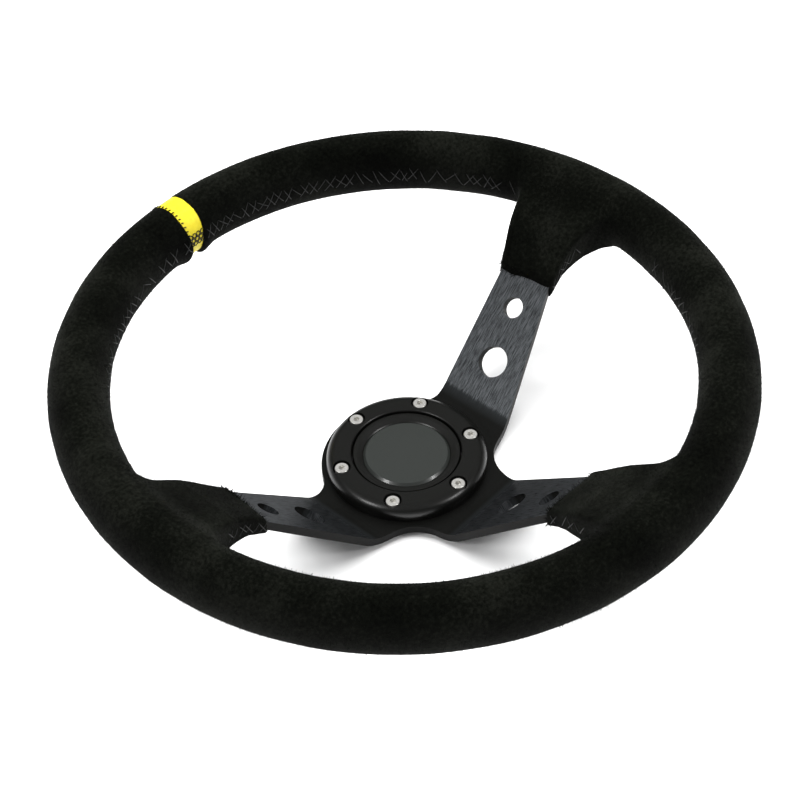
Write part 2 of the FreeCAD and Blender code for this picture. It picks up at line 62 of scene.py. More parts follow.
# ---------------------------------------------------------------- sizes
GRIP_LOW, GRIP_HIGH = [np.array(corner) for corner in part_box("suede_wrap")]
GRIP_RADIAL = 0.0151        # half the grip's section, across the rim
GRIP_AXIAL = 0.0165         # half the grip's section, along the wheel's axis
RIM_RADIUS = GRIP_HIGH[0] - GRIP_RADIAL
RIM_HEIGHT = GRIP_HIGH[2] - GRIP_AXIAL
BAND_HALF = 0.00525         # half the centre mark's width
BAND_SINK = 0.0003          # the centre mark lies this far below the suede
BAND_TUCK = 0.0006          # and goes on this far under the suede beside it
STEP = 0.00125              # cell size of the suede surface
GRID_MARGIN = 0.003
GRID_BOTTOM = 0.043         # just below the roots' lowest points
SETTLE_ROUNDS = 3           # times that points are moved onto a surface
RIPPLE = 0.00022
RIPPLE_SCALE = 0.030
HEM_ROUND = 0.0011          # radius of the suede's folded edges beside the centre mark
HEM_SWELL = 0.0019
HEM_REACH = 0.0055
HEM_INWARD = 0.85           # how strongly the swelling follows the rim's inner face
HEM_DOWNWARD = 0.5          # and its lower face

# Padded roots: distance out along the spoke, then the edge's sideways place there
SIDE_UPPER = ((0.095, 0.0232), (0.104, 0.0245), (0.112, 0.0278), (0.121, 0.0320), (0.130, 0.0352),
              (0.140, 0.0385), (0.160, 0.0420))
SIDE_LOWER = ((0.095, 0.0108), (0.104, 0.0089), (0.112, 0.0076), (0.118, 0.0070), (0.123, 0.0071),
              (0.128, 0.0077), (0.133, 0.0088), (0.138, 0.0106), (0.143, 0.0128), (0.148, 0.0155))
BOTTOM_EDGE = ((0.095, 0.0168), (0.104, 0.0173), (0.112, 0.0183), (0.119, 0.0202), (0.128, 0.0220),
               (0.135, 0.0236), (0.141, 0.0256), (0.147, 0.0280))
# The same roots' front and back: distance out, then height
ROOT_TOP = ((0.095, 0.0475), (0.1045, 0.0561), (0.118, 0.0674), (0.125, 0.0728), (0.138, 0.0802),
            (0.153, 0.0890))
ROOT_BOTTOM = ((0.095, 0.0385), (0.1045, 0.0457), (0.118, 0.0540), (0.135, 0.0588), (0.153, 0.0610))
ROOT_END = 0.1045           # where the tongues of suede are cut off
ROOT_EDGE_ROUND = 0.0022
ROOT_BLEND = 0.0065
ROOT_REACH = 0.150          # a root never goes further out than this radius
EDGE_COSINE = 0.93          # about that of the slope of a root's edges, which turns a gap into a distance
FACE_COSINE = 0.78          # the same for its front and back

# Cut ends of the tongues: a slant is how far the end moves out, where that starts and over what width
RIGHT_SLANT = (0.0026, 0.016, 0.026)
LEFT_SLANT = (0.0045, 0.0225, 0.030)
LEFT_SHIFT = 0.0028         # the 9 o'clock tongue reaches this much further in
RIGHT_WAVE = (0.0004, 0.004)    # height and length of a cut end's unevenness
BOTTOM_WAVE = (0.0010, 0.006)

# The separate flaps behind the roots
FLAP_END = 0.141
FLAP_RADIUS = 0.1465
FLAP_HALF = 0.045
FLAP_THICK = 0.0026
FLAP_MIDDLE = 0.009         # the side flaps' middle, towards 12 o'clock

NAP_SHARE = 0.35            # fibres for each face of the suede mesh
FRAY_LENGTH = 0.0030        # the longest fibres, along the cut ends of the tongues
FRAY_REACH = 0.0016         # how far from a cut end they grow
FRAY_WIDTH = 0.00022        # half a frayed fibre's width at its root
TONGUE_REACH = 0.012        # limits that at the tongues' corners, measured out from the wheel's axis
NAP_LENGTH = 0.0017
NAP_WIDTH = 0.00011
FIBRE_SHARE = (0.4, 1.0)    # a fibre's length over the longest, before squaring
FIBRE_LEAN = (0.2, 1.2)     # how far its tip leans, over its length

THREAD = 0.00020            # radius of the suede's thread
THREAD_SIDES = 6
THREAD_TIP = 0.55           # a thread's thickness at its ends
LINE_STEP = 0.006           # sets how far a thread's points may move onto the surface at once
LINE_ENTRY = 0.12           # angle at which a thread's arch starts, which keeps its ends off the surface
CROSS_PITCH = 0.0050
CROSS_HALF = 0.0036
SEAM_PHI = math.radians(177)
RIM_SPANS = ((16.5, 87.9), (92.1, 163.5), (200.5, 248.5), (291.5, 339.5))   # degrees from 3 o'clock
RIM_STRAY = 0.22            # unevenness of the rim's stitches across the seam
RIM_STRAY_ALONG = 0.02      # and along it, as a share of that, in radians
RIM_LIFT = 0.6              # how high a stitch arches, in thread radii
ROOT_LIFT = 0.8
ROOT_STITCH = 0.8           # size of the roots' stitches over the rim's
ROOT_STITCH_START = 0.003   # past the cut end
ROOT_STITCH_STOP = 0.134
STITCH_STRAY = 0.0004       # unevenness of the roots' stitches
STITCH_SUNK = 0.20          # share of the stitches that have sunk into the nap
LACE = 0.00034              # the heavier thread on the centre mark
LACE_CELL = 0.0030
LACE_PHI = math.radians(176)
LACE_ROWS = 3
LACE_HALF = 0.40            # half a cell's height over its width
LACE_ROW_STEP = 2.2         # from one row to the next, in half heights
TOOTH_PITCH = 0.0027
TOOTH_INSIDE = 0.0010       # how far a tooth reaches onto the centre mark
TOOTH_LEAN = 0.03           # radians round the section

# ---------------------------------------------------------------- camera
# Solved by a least-squares fit of the rim's outline, the screws and the holes, and rounded
CAMERA_AZIMUTH = -137.01
CAMERA_ELEVATION = 44.46
CAMERA_DISTANCE = 1.01377
CAMERA_ROLL = -2.09
CAMERA_PAN = 0.13
CAMERA_TILT = 1.00
LENS = 92.42
FLOOR_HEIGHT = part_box("ring_screws")[0][2]      # the wheel stands on its screws' ends
FLOOR_SIZE = 6.0


# ---------------------------------------------------------------- suede surface
def smooth_min(a, b, k):
    """The smaller of two fields, blended over a distance of k."""
    h = np.clip(0.5 + 0.5 * (b - a) / k, 0, 1)
    return b * (1 - h) + a * h - k * h * (1 - h)


def grip_field(p):
    """Signed distance to the oval-section ring."""
    across = np.hypot(p[..., 0], p[..., 1]) - RIM_RADIUS
    along = p[..., 2] - RIM_HEIGHT
    scaled = np.hypot(across / GRIP_RADIAL, along / GRIP_AXIAL)
    slope = np.hypot(across / GRIP_RADIAL ** 2, along / GRIP_AXIAL ** 2)
    return scaled * (scaled - 1) / np.maximum(slope, 1e-6)


def curve(table, x):
    """The table's value at x, in straight steps between its points."""
    xs, ys = zip(*table)
    return np.interp(x, xs, ys)


def root_field(out, side, height, edge_plus, edge_minus, end):
    """Signed distance to a padded root. out runs along the spoke, side is sideways, and end is where it
    stops. edge_plus and edge_minus say how far it reaches to either side."""
    past_plus = (side - curve(edge_plus, out)) * EDGE_COSINE
    past_minus = (-side - curve(edge_minus, out)) * EDGE_COSINE
    sideways = np.maximum(past_plus, past_minus)
    low, high = curve(ROOT_BOTTOM, out), curve(ROOT_TOP, out)
    upright = (np.abs(height - (low + high) / 2) - (high - low) / 2) * FACE_COSINE
    short = end - out
    parts = np.stack([sideways, upright, short, np.hypot(out, side) - ROOT_REACH]) + ROOT_EDGE_ROUND
    outside = np.sqrt((np.maximum(parts, 0) ** 2).sum(axis=0))
    return np.minimum(parts.max(axis=0), 0) + outside - ROOT_EDGE_ROUND


def ripple(p, scale, seed):
    """Soft deterministic unevenness made of a few crossed waves."""
    rng = np.random.default_rng(seed)
    waves = 7
    total = 0.0
    for _ in range(waves):
        direction = rng.normal(size=3)
        direction /= np.linalg.norm(direction)
        phase = rng.uniform(0, 2 * math.pi)
        wave = rng.uniform(0.7, 1.6) * 2 * math.pi / scale
        total = total + np.sin((p @ direction) * wave + phase)
    return total / waves


def slant(side, move, start, width):
    """How far a tongue's cut end moves out: nothing above start, and all of move a width below it."""
    return move * np.clip((start - side) / width, 0, 1)


def wave(side, height, length):
    """The unevenness of a tongue's cut end."""
    return height * np.sin(side / length)


def wheel_field(p):
    """Signed distance to all the suede: the grip, its roots, and the folded edges beside the centre mark."""
    x, y, z = p[..., 0], p[..., 1], p[..., 2]
    right_end = ROOT_END + wave(y, *RIGHT_WAVE) + slant(y, *RIGHT_SLANT)
    right = root_field(x, y, z, SIDE_UPPER, SIDE_LOWER, right_end)
    left_end = ROOT_END - LEFT_SHIFT + slant(y, *LEFT_SLANT)
    left = root_field(-x, y, z, SIDE_UPPER, SIDE_LOWER, left_end)
    bottom_end = ROOT_END + wave(x, *BOTTOM_WAVE)
    bottom = root_field(-y, x, z, BOTTOM_EDGE, BOTTOM_EDGE, bottom_end)
    field = grip_field(p)
    for root in (right, left, bottom):
        field = smooth_min(field, root, ROOT_BLEND)
    band = BAND_HALF - np.abs(x)
    band = np.where(y > 0, band, -1.0)
    outer, beside = field + HEM_ROUND, band + HEM_ROUND
    inside = np.minimum(np.maximum(outer, beside), 0)
    both = np.hypot(np.maximum(outer, 0), np.maximum(beside, 0)) + inside - HEM_ROUND
    return both - RIPPLE * ripple(p, RIPPLE_SCALE, 3) - hem_swell(x, y, z)


def hem_swell(x, y, z):
    """How much the suede's folded edge bulges beside the centre mark, on the rim's inner and lower side."""
    away = np.maximum(np.abs(x) - BAND_HALF, 0)
    inward = (RIM_RADIUS - np.hypot(x, y)) / GRIP_RADIAL
    downward = (RIM_HEIGHT - z) / GRIP_AXIAL
    facing = np.clip(inward * HEM_INWARD + downward * HEM_DOWNWARD, 0, 1) ** 2
    return np.where(y > 0, HEM_SWELL * facing * np.exp(-(away / HEM_REACH) ** 2), 0.0)


def iso_mesh(field, low, high, step):
    """Vertices and quads of the surface where field is 0, by surface nets on a regular grid."""
    counts = np.ceil((np.array(high) - low) / step).astype(int) + 1
    axes = [low[k] + step * np.arange(counts[k]) for k in range(3)]
    grid = np.stack(np.meshgrid(*axes, indexing="ij"), axis=-1)
    values = field(grid)
    cells = counts - 1
    strides = np.array([cells[1] * cells[2], cells[2], 1])
    points, owners, quads = [], [], []
    for axis in range(3):
        u, v = (axis + 1) % 3, (axis + 2) % 3
        first = np.take(values, range(counts[axis] - 1), axis=axis)
        second = np.take(values, range(1, counts[axis]), axis=axis)
        index = np.argwhere((first < 0) != (second < 0))
        a = first[tuple(index.T)]
        b = second[tuple(index.T)]
        at = index.astype(float)
        at[:, axis] += a / (a - b)
        corners = []
        for du, dv in ((0, 0), (-1, 0), (-1, -1), (0, -1)):
            cell = index.copy()
            cell[:, u] += du
            cell[:, v] += dv
            corners.append(cell @ strides)
            points.append(at)
            owners.append(corners[-1])
        ring = np.stack(corners, axis=1)
        ring[a >= 0] = ring[a >= 0][:, ::-1]
        quads.append(ring)
    points = np.concatenate(points)
    owners = np.concatenate(owners)
    quads = np.concatenate(quads)
    used, slot = np.unique(owners, return_inverse=True)
    share = np.bincount(slot)
    verts = np.stack([np.bincount(slot, points[:, k]) / share for k in range(3)], axis=1)
    verts = np.array(low) + verts * step
    quads = np.searchsorted(used, quads)
    for _ in range(SETTLE_ROUNDS):
        verts = onto_surface(verts, field, step)
    return verts, quads


def onto_surface(verts, field, step):
    """Moves each point to where the field is 0, along the field's slope."""
    value = field(verts)
    tiny = step * 0.1
    longest_move = step * 0.5
    least_size = 0.2        # so that a flat spot in the field doesn't throw a point far off
    slope = np.stack([(field(verts + tiny * np.eye(3)[k]) - value) / tiny for k in range(3)], axis=1)
    size = np.maximum((slope ** 2).sum(axis=1), least_size)
    move = slope * (value / size)[:, None]
    far = np.linalg.norm(move, axis=1)
    limit = np.minimum(1, longest_move / np.maximum(far, 1e-9))
    return verts - move * limit[:, None]


def mesh_object(name, verts, faces, material, smooth=True):
    mesh = bpy.data.meshes.new(name)
    mesh.from_pydata([tuple(v) for v in np.asarray(verts).tolist()], [], [tuple(f) for f in faces])
    mesh.update()
    if smooth:
        mesh.shade_smooth()
    else:
        mesh.shade_flat()
    obj = bpy.data.objects.new(name, mesh)
    bpy.context.scene.collection.objects.link(obj)
    obj.data.materials.append(material)
    return obj


def kept_faces(verts, faces, mask):
    """The faces whose mask is true, with only the points that they use."""
    chosen = faces[mask]
    used, index = np.unique(chosen, return_inverse=True)
    return verts[used], index.reshape(chosen.shape)


def under_spoke(centres, out, side):
    """True for faces on a root's back, where the separate suede flap is."""
    back = curve(ROOT_BOTTOM, out) + FLAP_THICK
    return (out < FLAP_END) & (np.abs(side) < FLAP_HALF) & (centres[:, 2] < back)


def suede_pieces(material):
    """The suede over the rim and roots, and the three flaps behind the roots, cut from one surface."""
    low = GRIP_LOW - GRID_MARGIN
    high = GRIP_HIGH + GRID_MARGIN
    low[2] = GRID_BOTTOM
    verts, faces = iso_mesh(wheel_field, low, high, STEP)
    centres = verts[faces].mean(axis=1)
    x, y = centres[:, 0], centres[:, 1]
    flaps = {"3": under_spoke(centres, x, y - FLAP_MIDDLE),
             "9": under_spoke(centres, -x, y - FLAP_MIDDLE),
             "6": under_spoke(centres, -y, x)}
    rest = np.ones(len(faces), dtype=bool)
    pieces = []
    for number, mask in flaps.items():
        mask = mask & (np.hypot(x, y) < FLAP_RADIUS)
        rest &= ~mask
        obj = mesh_object(f"suede_flap_{number}", *kept_faces(verts, faces, mask), material)
        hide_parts(f"spoke_flap_{number}")
        pieces.append(obj)
    grip = mesh_object("suede_grip", *kept_faces(verts, faces, rest), material)
    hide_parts("suede_wrap", "rim_foam")
    pieces.append(grip)
    for obj in pieces:
        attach(obj, "wheel")
    return pieces


def nap_fibres(pieces, material):
    """Short stray fibres that stand out of the suede, each leaning its own way, longer where it is cut."""
    rng = np.random.default_rng(5)
    verts, faces = [], []
    for piece in pieces:
        mesh = piece.data
        count = len(mesh.polygons)
        centres = np.empty(count * 3)
        normals = np.empty(count * 3)
        mesh.polygons.foreach_get("center", centres)
        mesh.polygons.foreach_get("normal", normals)
        centres, normals = centres.reshape(-1, 3), normals.reshape(-1, 3)
        along_spoke = np.maximum(np.abs(centres[:, 0]), -centres[:, 1])
        on_tongue = np.hypot(centres[:, 0], centres[:, 1]) < ROOT_END + TONGUE_REACH
        frayed = on_tongue & (along_spoke < ROOT_END + FRAY_REACH)
        chosen = np.flatnonzero((rng.random(count) < NAP_SHARE) | frayed)
        longest = np.where(frayed, FRAY_LENGTH, NAP_LENGTH)
        thick = np.where(frayed, FRAY_WIDTH, NAP_WIDTH)
        for at, out, most, width in zip(centres[chosen], normals[chosen], longest[chosen], thick[chosen]):
            lean = rng.normal(size=3)
            lean -= out * (lean @ out)
            lean /= np.linalg.norm(lean)
            across = np.cross(out, lean)
            length = most * rng.uniform(*FIBRE_SHARE) ** 2
            tip = at + out * length + lean * length * rng.uniform(*FIBRE_LEAN)
            base = len(verts)
            verts += [at - across * width, at + across * width, tip]
            faces.append((base, base + 1, base + 2))
    obj = mesh_object("suede_nap", np.array(verts), faces, material, smooth=False)
    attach(obj, "wheel")


# ---------------------------------------------------------------- centre mark
def on_grip(theta, phi, inset=0.0):
    """A point on the grip. theta runs round the wheel from 3 o'clock, and phi round the section from its
    outside to its top."""
    radius = RIM_RADIUS + (GRIP_RADIAL - inset) * np.cos(phi)
    height = RIM_HEIGHT + (GRIP_AXIAL - inset) * np.sin(phi)
    return np.stack([radius * np.cos(theta), radius * np.sin(theta), height], axis=-1)


def centre_band(material):
    """The yellow mark at 12 o'clock, a sleeve round the grip."""
    around, along = 96, 16
    phi = np.linspace(0, 2 * math.pi, around, endpoint=False)
    lateral = np.linspace(-BAND_HALF - BAND_TUCK, BAND_HALF + BAND_TUCK, along)
    verts = []
    for x in lateral:
        radius = RIM_RADIUS + (GRIP_RADIAL - BAND_SINK) * np.cos(phi)
        height = RIM_HEIGHT + (GRIP_AXIAL - BAND_SINK) * np.sin(phi)
        depth = np.sqrt(radius ** 2 - x ** 2)
        verts.append(np.stack([np.full(around, x), depth, height], axis=-1))
    verts = np.concatenate(verts)
    faces = []
    for i in range(along - 1):
        for j in range(around):
            k = (j + 1) % around
            faces.append((i * around + j, i * around + k, (i + 1) * around + k, (i + 1) * around + j))
    obj = mesh_object("centre_mark", verts, faces, material)
    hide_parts("centre_band")
    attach(obj, "wheel")


# ---------------------------------------------------------------- stitching
def thread_mesh(name, paths, radius, material):
    """One mesh of round threads along the given paths, each an (n, 3) array."""
    sides = THREAD_SIDES
    verts, faces = [], []
    for path in paths:
        tangent = np.gradient(path, axis=0)
        tangent /= np.linalg.norm(tangent, axis=1)[:, None]
        helper = np.array([0.0, 0.0, 1.0]) if abs(tangent[0, 2]) < 0.9 else np.array([1.0, 0.0, 0.0])
        side = np.cross(tangent, helper)
        side /= np.linalg.norm(side, axis=1)[:, None]
        other = np.cross(tangent, side)
        base = len(verts)
        for i in range(len(path)):
            taper = THREAD_TIP if i in (0, len(path) - 1) else 1.0
            for j in range(sides):
                angle = 2 * math.pi * j / sides
                outward = math.cos(angle) * side[i] + math.sin(angle) * other[i]
                verts.append(path[i] + radius * taper * outward)
        for i in range(len(path) - 1):
            for j in range(sides):
                k = (j + 1) % sides
                a, b = base + i * sides, base + (i + 1) * sides
                faces.append((a + j, a + k, b + k, b + j))
        faces.append(tuple(base + j for j in range(sides))[::-1])
        last = base + (len(path) - 1) * sides
        faces.append(tuple(last + j for j in range(sides)))
    obj = mesh_object(name, np.array(verts), faces, material)
    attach(obj, "wheel")
    return obj


def surface_line(start, end, lift, field=wheel_field, points=6):
    """A thread that lies on a surface from start to end, highest in the middle."""
    path = np.linspace(start, end, points)
    for _ in range(SETTLE_ROUNDS):
        path = onto_surface(path, field, LINE_STEP)
    tiny = 0.0001
    value = field(path)
    normal = np.stack([(field(path + tiny * np.eye(3)[k]) - value) for k in range(3)], axis=1)
    normal /= np.maximum(np.linalg.norm(normal, axis=1)[:, None], 1e-9)
    rise = lift * np.sin(np.linspace(LINE_ENTRY, math.pi - LINE_ENTRY, points))
    return path + normal * rise[:, None]


def rim_stitching(material):
    """Cross stitches along the rim's inner face, between the roots."""
    paths = []
    rng = np.random.default_rng(11)
    inner = RIM_RADIUS - GRIP_RADIAL
    half_phi = CROSS_HALF / GRIP_AXIAL
    for first, last in RIM_SPANS:
        count = int(math.radians(last - first) * inner / CROSS_PITCH)
        thetas = np.radians(np.linspace(first, last, count + 1))
        for i in range(count):
            for a, b in ((-1, 1), (1, -1)):
                if rng.random() < STITCH_SUNK:
                    continue
                stray = rng.normal(0, RIM_STRAY, 4)
                from_theta = thetas[i] + stray[0] * RIM_STRAY_ALONG
                to_theta = thetas[i + 1] + stray[2] * RIM_STRAY_ALONG
                start = on_grip(from_theta, SEAM_PHI + (a + stray[1]) * half_phi)
                end = on_grip(to_theta, SEAM_PHI + (b + stray[3]) * half_phi)
                paths.append(surface_line(start, end, THREAD * RIM_LIFT))
    obj = thread_mesh("rim_stitching", paths, THREAD, material)


def stitch_places(table):
    """Evenly spaced distances out along a root's edge, each with the edge's sideways place there."""
    outs = np.arange(ROOT_END + ROOT_STITCH_START, ROOT_STITCH_STOP, CROSS_PITCH * ROOT_STITCH)
    return [(out, float(curve(table, out))) for out in outs]


def root_middle(out):
    """The height halfway between a root's front and back."""
    return (curve(ROOT_TOP, out) + curve(ROOT_BOTTOM, out)) / 2


def root_side_stitching(material):
    """Cross stitches down both sides of each root, joining the front suede to the flap behind."""
    edges = []
    for mirror in (1, -1):
        edges.append([(mirror * out, side, out) for out, side in stitch_places(SIDE_UPPER)])
        edges.append([(mirror * out, -side, out) for out, side in stitch_places(SIDE_LOWER)])
        edges.append([(mirror * side, -out, out) for out, side in stitch_places(BOTTOM_EDGE)])
    paths = []
    rng = np.random.default_rng(17)
    for edge in edges:
        for (x0, y0, o0), (x1, y1, o1) in zip(edge[:-1], edge[1:]):
            for a, b in ((-1, 1), (1, -1)):
                if rng.random() < STITCH_SUNK:
                    continue
                start = np.array([x0, y0, root_middle(o0) + a * CROSS_HALF * ROOT_STITCH])
                start += rng.normal(0, STITCH_STRAY, 3)
                end = np.array([x1, y1, root_middle(o1) + b * CROSS_HALF * ROOT_STITCH])
                end += rng.normal(0, STITCH_STRAY, 3)
                paths.append(surface_line(start, end, THREAD * ROOT_LIFT))
    obj = thread_mesh("root_stitching", paths, THREAD, material)


def band_field(p):
    """Signed distance to the centre mark's surface."""
    return grip_field(p) + BAND_SINK


def band_point(x, phi):
    """A point on the centre mark, x to the 3 o'clock side of its middle."""
    return on_grip(math.pi / 2 - x / RIM_RADIUS, phi, BAND_SINK)


def band_stitching(material):
    """Black thread on the centre mark: teeth along its 9 o'clock edge, and honeycomb lacing on the inner
    face."""
    paths = []
    for phi in np.arange(0, 2 * math.pi, TOOTH_PITCH / GRIP_AXIAL):
        start = band_point(-BAND_HALF - BAND_TUCK, phi)
        end = band_point(-BAND_HALF + TOOTH_INSIDE, phi + TOOTH_LEAN)
        paths.append(surface_line(start, end, LACE * 1.2, band_field, 4))
    half = LACE_CELL / GRIP_AXIAL * LACE_HALF
    for row in range(LACE_ROWS):
        level = LACE_PHI + (row - 1) * half * LACE_ROW_STEP
        for i in range(-2, 2):
            x0 = (i + 0.5 * (row % 2)) * LACE_CELL
            for sign in (-1, 1):
                corners = [(x0, level), (x0 + LACE_CELL * 0.3, level + sign * half),
                           (x0 + LACE_CELL * 0.7, level + sign * half), (x0 + LACE_CELL, level)]
                for (xa, pa), (xb, pb) in zip(corners[:-1], corners[1:]):
                    if max(abs(xa), abs(xb)) < BAND_HALF:
                        line = surface_line(band_point(xa, pa), band_point(xb, pb), LACE * 0.8, band_field, 3)
                        paths.append(line)
    obj = thread_mesh("centre_mark_stitching", paths, LACE, material)


# ---------------------------------------------------------------- return spring
def return_spring(material):
    """The horn's coil, which on the real wheel shortens by the button's travel as it is pressed; here a fixed
    copy of the CAD spring in the steel look, carried by the wheel.
    """
    node = frame["nodes"]["horn_spring"]
    obj = bpy.data.objects.new("return_spring", node.data.copy())
    bpy.context.scene.collection.objects.link(obj)
    obj.data.materials.clear()
    obj.data.materials.append(material)
    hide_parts("horn_spring")
    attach(obj, "wheel")
    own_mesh(obj)


# ---------------------------------------------------------------- materials
def new_material(name):
    """A material with its nodes, links and Principled shader."""
    material = bpy.data.materials.new(name)
    material.use_nodes = True
    nodes = material.node_tree.nodes
    links = material.node_tree.links
    return material, nodes, links, nodes["Principled BSDF"]


def noise(nodes, links, coordinates, scale, detail=4.0, rough=0.55):
    node = nodes.new("ShaderNodeTexNoise")
    node.inputs["Scale"].default_value = scale
    node.inputs["Detail"].default_value = detail
    node.inputs["Roughness"].default_value = rough
    links.new(coordinates, node.inputs["Vector"])
    return node.outputs["Fac"]


def object_coordinates(nodes):
    return nodes.new("ShaderNodeTexCoord").outputs["Object"]


def remap(nodes, links, value, from_low, from_high, to_low, to_high):
    node = nodes.new("ShaderNodeMapRange")
    node.inputs["From Min"].default_value = from_low
    node.inputs["From Max"].default_value = from_high
    node.inputs["To Min"].default_value = to_low
    node.inputs["To Max"].default_value = to_high
    links.new(value, node.inputs["Value"])
    return node.outputs["Result"]


def ramp(nodes, links, value, stops):
    node = nodes.new("ShaderNodeValToRGB")
    elements = node.color_ramp.elements
    while len(elements) < len(stops):
        elements.new(0.5)
    for element, (place, colour) in zip(elements, stops):
        element.position = place
        element.color = (*colour, 1)
    links.new(value, node.inputs["Fac"])
    return node.outputs["Color"]


def bump(nodes, links, height, strength, distance, after=None):
    node = nodes.new("ShaderNodeBump")
    node.inputs["Strength"].default_value = strength
    node.inputs["Distance"].default_value = distance
    links.new(height, node.inputs["Height"])
    if after is not None:
        links.new(after, node.inputs["Normal"])
    return node.outputs["Normal"]


def mixed(nodes, links, factor, a, b):
    node = nodes.new("ShaderNodeMix")
    node.data_type = "FLOAT"
    links.new(factor, node.inputs["Factor"])
    links.new(a, node.inputs["A"])
    links.new(b, node.inputs["B"])
    return node.outputs["Result"]


def math_node(nodes, links, operation, a, b=None):
    node = nodes.new("ShaderNodeMath")
    node.operation = operation
    for socket, value in zip(node.inputs, (a, b)):
        if isinstance(value, (int, float)):
            socket.default_value = value
        elif value is not None:
            links.new(value, socket)
    return node.outputs["Value"]


def suede_material():
    """Near-black suede with rubbed patches, brushed nap and a faint sheen."""
    material, nodes, links, shader = new_material("suede")
    where = object_coordinates(nodes)
    patches = noise(nodes, links, where, 26.0, 2.5, 0.5)
    strokes = noise(nodes, links, where, 560.0, 5.0, 0.65)
    nap = noise(nodes, links, where, 1900.0, 2.0, 0.7)
    total = math_node(nodes, links, "ADD", math_node(nodes, links, "MULTIPLY", patches, 0.50),
                      math_node(nodes, links, "MULTIPLY", strokes, 0.50))
    colour = ramp(nodes, links, total, ((0.38, (0.0004, 0.0005, 0.0003)), (0.51, (0.0013, 0.0016, 0.0010)),
                                        (0.66, (0.0054, 0.0059, 0.0045))))
    links.new(colour, shader.inputs["Base Color"])
    shader.inputs["Roughness"].default_value = 1.0
    shader.inputs["Specular IOR Level"].default_value = 0.08
    sheen = remap(nodes, links, total, 0.38, 0.66, 0.003, 0.040)
    links.new(sheen, shader.inputs["Sheen Weight"])
    shader.inputs["Sheen Roughness"].default_value = 0.5
    shader.inputs["Sheen Tint"].default_value = (0.55, 0.58, 0.50, 1)
    soft = bump(nodes, links, strokes, 0.25, 0.0008)
    links.new(bump(nodes, links, nap, 0.7, 0.0003, soft), shader.inputs["Normal"])
    return material


def thread_material(name, colour):
    material, nodes, links, shader = new_material(name)
    where = object_coordinates(nodes)
    fibre = noise(nodes, links, where, 2600.0, 2.0)
    dark = tuple(c * 0.7 for c in colour)
    light = tuple(c * 1.3 for c in colour)
    links.new(ramp(nodes, links, fibre, ((0.35, dark), (0.65, light))), shader.inputs["Base Color"])
    shader.inputs["Roughness"].default_value = 0.55
    return material


def yellow_material():
    material, nodes, links, shader = new_material("yellow_leather")
    where = object_coordinates(nodes)
    grain = noise(nodes, links, where, 420.0, 3.0)
    colour = ramp(nodes, links, grain, ((0.3, (0.58, 0.48, 0.007)), (0.7, (0.67, 0.56, 0.012))))
    links.new(colour, shader.inputs["Base Color"])
    shader.inputs["Roughness"].default_value = 0.5
    links.new(bump(nodes, links, grain, 0.25, 0.0004), shader.inputs["Normal"])
    return material


def brushed_material():
    """Black anodised sheet, brushed along each spoke and plain where it is bent and at the hub."""
    material, nodes, links, shader = new_material("brushed_black")
    where = object_coordinates(nodes)
    split = nodes.new("ShaderNodeSeparateXYZ")
    links.new(where, split.inputs["Vector"])
    x, y, z = split.outputs["X"], split.outputs["Y"], split.outputs["Z"]

    def streaks(along, across):
        """Noise drawn out along a spoke."""
        joined = nodes.new("ShaderNodeCombineXYZ")
        links.new(math_node(nodes, links, "MULTIPLY", along, 0.13), joined.inputs["X"])
        links.new(across, joined.inputs["Y"])
        return noise(nodes, links, joined.outputs["Vector"], 1500.0, 6.0, 0.75)

    size_x = math_node(nodes, links, "ABSOLUTE", x)
    down = math_node(nodes, links, "MULTIPLY", y, -1.0)
    on_bottom = math_node(nodes, links, "GREATER_THAN", down, size_x)
    brushed = mixed(nodes, links, on_bottom, streaks(x, y), streaks(y, x))
    facing = nodes.new("ShaderNodeSeparateXYZ")
    links.new(nodes.new("ShaderNodeTexCoord").outputs["Normal"], facing.inputs["Vector"])
    broad = remap(nodes, links, math_node(nodes, links, "ABSOLUTE", facing.outputs["Z"]), 0.35, 0.6, 0.0, 1.0)
    raised = remap(nodes, links, z, 0.0052, 0.0090, 0.0, 1.0)
    sloped = math_node(nodes, links, "MULTIPLY", raised, broad)
    amount = math_node(nodes, links, "MULTIPLY", brushed, sloped)
    lift = ramp(nodes, links, amount, ((0.0, (0.0030, 0.0031, 0.0028)), (0.38, (0.018, 0.020, 0.021)),
                                       (0.62, (0.104, 0.110, 0.117))))
    links.new(lift, shader.inputs["Base Color"])
    links.new(remap(nodes, links, sloped, 0.0, 1.0, 0.0, 0.90), shader.inputs["Metallic"])
    links.new(remap(nodes, links, broad, 0.0, 1.0, 0.08, 0.34), shader.inputs["Specular IOR Level"])
    shader.inputs["Specular Tint"].default_value = (0.35, 0.35, 0.35, 1)
    shader.inputs["Roughness"].default_value = 0.38
    links.new(bump(nodes, links, amount, 0.35, 0.00012), shader.inputs["Normal"])
    return material


def plain_material(name, colour, roughness, metallic=0.0, coat=0.0, grain=2500.0, strength=0.06):
    """Metal or plastic with a fine speck in its colour and surface."""
    material, nodes, links, shader = new_material(name)
    where = object_coordinates(nodes)
    speck = noise(nodes, links, where, grain, 3.0)
    dark = tuple(c * 0.9 for c in colour)
    light = tuple(min(1.0, c * 1.1) for c in colour)
    links.new(ramp(nodes, links, speck, ((0.3, dark), (0.7, light))), shader.inputs["Base Color"])
    shader.inputs["Roughness"].default_value = roughness
    shader.inputs["Metallic"].default_value = metallic
    shader.inputs["Coat Weight"].default_value = coat
    shader.inputs["Coat Roughness"].default_value = 0.12
    links.new(bump(nodes, links, speck, strength, 0.00008), shader.inputs["Normal"])
    return material


